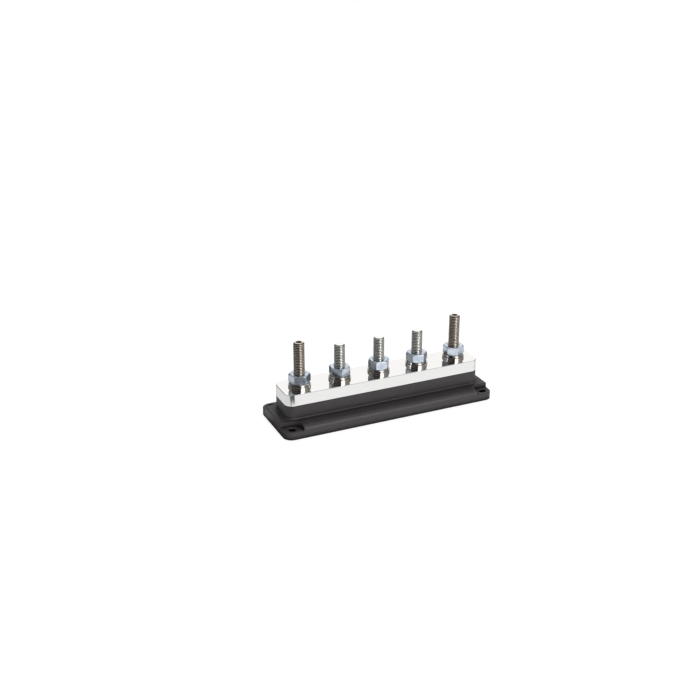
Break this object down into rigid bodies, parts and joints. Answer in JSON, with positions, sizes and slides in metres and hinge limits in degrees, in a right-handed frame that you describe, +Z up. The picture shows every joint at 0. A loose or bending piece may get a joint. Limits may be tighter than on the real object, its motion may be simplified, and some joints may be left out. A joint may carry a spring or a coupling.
{
  "type": "bus bar",
  "caption": "Long plated flat bar on a black moulded base with corner screw holes, and a row of M10 studs with washers and nuts.",
  "frame": {"origin": "middle of the base's underside", "axes": "+X along the bar, +Y across it away from the viewer, +Z up along the studs"},
  "size_m": [0.203, 0.0636, 0.0752],
  "materials": {
    "base": "black moulded plastic, satin",
    "bar": "bright plated, polished top and finely brushed sides",
    "stud": "stainless steel, rolled thread",
    "flat_washer": "stainless steel, stamped",
    "spring_washer": "stainless steel, drawn wire",
    "nut": "bright zinc with a cool tint"
  },
  "bodies": {
    "fixed": {"base": "base", "bus_bar": "bar", "stud_1": "stud", "stud_2": "stud", "stud_3": "stud", "stud_4": "stud", "stud_5": "stud", "flat_washer_1": "flat_washer", "flat_washer_2": "flat_washer", "flat_washer_3": "flat_washer", "flat_washer_4": "flat_washer", "flat_washer_5": "flat_washer"},
    "turning_1": {"spring_washer_1": "spring_washer"},
    "rising_1": {"nut_1": "nut"},
    "turning_2": {"spring_washer_2": "spring_washer"},
    "rising_2": {"nut_2": "nut"},
    "turning_3": {"spring_washer_3": "spring_washer"},
    "rising_3": {"nut_3": "nut"},
    "turning_4": {"spring_washer_4": "spring_washer"},
    "rising_4": {"nut_4": "nut"},
    "turning_5": {"spring_washer_5": "spring_washer"},
    "rising_5": {"nut_5": "nut"}
  },
  "joints": [
    {"name": "nut_turn_1", "type": "hinge", "parent": "fixed", "child": "turning_1", "pos_m": [-0.076, 0, 0.0362], "axis": [0, 0, 1], "range_deg": [0, 6840]},
    {"name": "nut_rise_1", "type": "slide", "parent": "turning_1", "child": "rising_1", "axis": [0, 0, 1], "range_m": [0, 0.02851]},
    {"name": "nut_turn_2", "type": "hinge", "parent": "fixed", "child": "turning_2", "pos_m": [-0.038, 0, 0.0362], "axis": [0, 0, 1], "range_deg": [0, 4680]},
    {"name": "nut_rise_2", "type": "slide", "parent": "turning_2", "child": "rising_2", "axis": [0, 0, 1], "range_m": [0, 0.01951]},
    {"name": "nut_turn_3", "type": "hinge", "parent": "fixed", "child": "turning_3", "pos_m": [0, 0, 0.0362], "axis": [0, 0, 1], "range_deg": [0, 4680]},
    {"name": "nut_rise_3", "type": "slide", "parent": "turning_3", "child": "rising_3", "axis": [0, 0, 1], "range_m": [0, 0.01951]},
    {"name": "nut_turn_4", "type": "hinge", "parent": "fixed", "child": "turning_4", "pos_m": [0.038, 0, 0.0362], "axis": [0, 0, 1], "range_deg": [0, 4680]},
    {"name": "nut_rise_4", "type": "slide", "parent": "turning_4", "child": "rising_4", "axis": [0, 0, 1], "range_m": [0, 0.01951]},
    {"name": "nut_turn_5", "type": "hinge", "parent": "fixed", "child": "turning_5", "pos_m": [0.076, 0, 0.0362], "axis": [0, 0, 1], "range_deg": [0, 6840]},
    {"name": "nut_rise_5", "type": "slide", "parent": "turning_5", "child": "rising_5", "axis": [0, 0, 1], "range_m": [0, 0.02851]}
  ],
  "couplings": [
    {"joint": "nut_rise_1", "follows": "nut_turn_1", "m_per_rad": 0.00023873},
    {"joint": "nut_rise_2", "follows": "nut_turn_2", "m_per_rad": 0.00023873},
    {"joint": "nut_rise_3", "follows": "nut_turn_3", "m_per_rad": 0.00023873},
    {"joint": "nut_rise_4", "follows": "nut_turn_4", "m_per_rad": 0.00023873},
    {"joint": "nut_rise_5", "follows": "nut_turn_5", "m_per_rad": 0.00023873}
  ]
}
